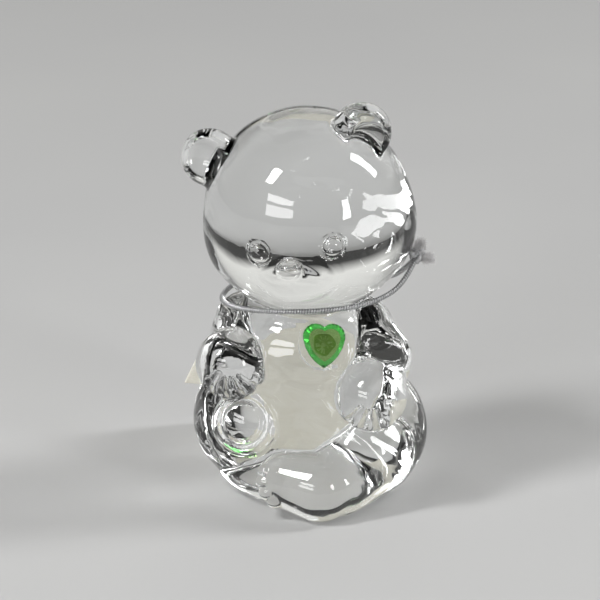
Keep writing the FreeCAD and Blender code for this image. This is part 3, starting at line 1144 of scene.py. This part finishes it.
def wear_crown(gem, material):
    """The sloping facets round the table wear a second copy of the stone's material, painted a brighter,
    deeper green than the table: painted light that stands in for light bouncing inside the stone.
    """
    gem.data.materials.append(material)
    way = GEM_FACES.normalized()
    front = max(face.center.dot(way) for face in gem.data.polygons)
    for face in gem.data.polygons:
        height = front - face.center.dot(way)
        if 0.0001 < height < GEM_CROWN and face.normal.dot(way) > 0.1:
            face.material_index = 1


def glue_material():
    material, shader = new_material(
        "cured glue",
        Roughness=0.32,
        IOR=1.48,
        Transmission_Weight=0.6,
    )
    cloud = noise(material, 900.0, detail=5.0)
    tinted(material, shader, cloud, (0.3, (0.78, 0.72, 0.50)), (0.7, (0.97, 0.93, 0.76)))
    bumped(material, shader, cloud, 0.5, 0.0001)
    return material


def yarn_material():
    material, shader = new_material(
        "silver metallised yarn",
        Metallic=0.75,
        Roughness=0.34,
        Anisotropic=0.3,
    )
    links = material.node_tree.links
    hairs = noise(material, 5200.0, detail=3.0, rough=0.6)
    tint = colours(
        material,
        hairs,
        (0.3, (0.24, 0.24, 0.245)),
        (0.5, (0.46, 0.46, 0.47)),
        (0.72, (0.88, 0.88, 0.88)),
    )
    # Painted shade: the colour is darkened almost to black in the concave valleys between the yarn's turns,
    # found from the mesh's pointiness
    bend = material.node_tree.nodes.new("ShaderNodeNewGeometry").outputs["Pointiness"]
    painted_valley_shade = colours(material, bend, (0.475, (0.02, 0.02, 0.02)), (0.52, (1.0, 1.0, 1.0)))
    shaded = mixed(material, "RGBA", 1.0, tint, painted_valley_shade, blend="MULTIPLY")
    links.new(shaded, shader.inputs["Base Color"])
    links.new(spread(material, hairs, 0.45, 0.25), shader.inputs["Roughness"])
    bumped(material, shader, hairs, 0.35, 0.00003)
    return material


def fluff_material():
    material, shader = new_material("frayed yarn ends", Roughness=0.6)
    shade = noise(material, 2600.0, detail=2.0)
    tinted(material, shader, shade, (0.3, (0.74, 0.73, 0.73)), (0.7, (0.97, 0.96, 0.96)))
    return material


def rubber_material():
    material, shader = new_material("elastic thread", Roughness=0.6)
    dust = noise(material, 1500.0)
    tinted(material, shader, dust, (0.3, (0.74, 0.73, 0.70)), (0.7, (0.86, 0.85, 0.82)))
    return material


def card_material():
    material, shader = new_material("cream card", Roughness=0.78)
    links = material.node_tree.links
    fibres = noise(material, 900.0, detail=6.0, rough=0.65, stretch=(1.0, 0.6, 2.2))
    cloud = noise(material, 60.0, detail=2.0)
    both = material.node_tree.nodes.new("ShaderNodeMath")
    both.operation = "ADD"
    half = material.node_tree.nodes.new("ShaderNodeMath")
    half.operation = "MULTIPLY"
    half.inputs[1].default_value = 0.5
    links.new(fibres, both.inputs[0])
    links.new(cloud, both.inputs[1])
    links.new(both.outputs[0], half.inputs[0])
    tinted(material, shader, half.outputs[0], (0.35, (0.80, 0.77, 0.66)), (0.65, (0.93, 0.91, 0.83)))
    bumped(material, shader, fibres, 0.35, 0.00006)
    return material


def floor_material():
    material, shader = new_material("pale studio floor", Roughness=0.6)
    shade = noise(material, 9.0, detail=2.0)
    tinted(material, shader, shade, (0.3, (0.55, 0.55, 0.55)), (0.7, (0.58, 0.58, 0.575)))
    return material


# Studio

def add_floor():
    half = FLOOR_HALF
    floor = new_mesh(
        "floor",
        [(-half, -half, 0), (half, -half, 0), (half, half, 0), (-half, half, 0)],
        [(0, 1, 2, 3)],
        smooth=False,
    )
    floor.location.z = cad_low.z - FLOOR_DROP
    wear(floor, floor_material())


def add_light(name, at, size, power):
    data = bpy.data.lights.new(name, "AREA")
    data.shape = "RECTANGLE"
    data.size, data.size_y = size
    data.energy = power
    light = bpy.data.objects.new(name, data)
    light.location = at
    light.rotation_euler = (LIGHTS_AIM_AT - Vector(at)).to_track_quat("-Z", "Y").to_euler()
    bpy.context.scene.collection.objects.link(light)


def room_world():
    """A dim room with a wide pale wall behind the bear, which fades out upwards and towards the front."""
    world = bpy.data.worlds.new("room")
    world.use_nodes = True
    stops = [(place, (shade, shade * 0.995, shade * 0.96)) for place, shade in WALL_SHADES]
    wall = colours(world, coordinate(world, "Generated", "Z"), *stops)
    behind = spread(world, coordinate(world, "Generated", "Y"), 0.06, 1.0, start=0.0, end=0.7)
    background = world.node_tree.nodes["Background"]
    world.node_tree.links.new(wall, background.inputs["Color"])
    world.node_tree.links.new(behind, background.inputs["Strength"])
    return world


def add_studio():
    add_floor()
    for light in STUDIO_LIGHTS:
        add_light(*light)
    bpy.context.scene.world = room_world()
    bpy.context.scene.view_settings.view_transform = "Standard"


# Putting it together

add_camera()
cord = add_cord()
bear = add_bear()
gem = add_gem()
glue = add_glue()
tag = add_tag()

yarn = yarn_material()
fluff = fluff_material()
wear(cord["winding"], yarn)
wear(cord["knot"], yarn)
wear(cord["upper"], fluff)
wear(cord["side"], fluff)
wear(cord["core"], rubber_material())
wear(bear, glass_material())
wear_ground_base(bear, ground_glass_material())
# Painted light: the crown's copy of the stone is painted a brighter, deeper green than the table's, for the
# light that bounces inside the stone
wear(gem, gem_material("green stone table", (0.44, 0.68, 0.28), (0.32, 0.56, 0.19)))
wear_crown(gem, gem_material("green stone crown", (0.05, 0.95, 0.09), (0.02, 0.80, 0.04)))
wear(glue, glue_material())
wear(tag, card_material())

add_studio()
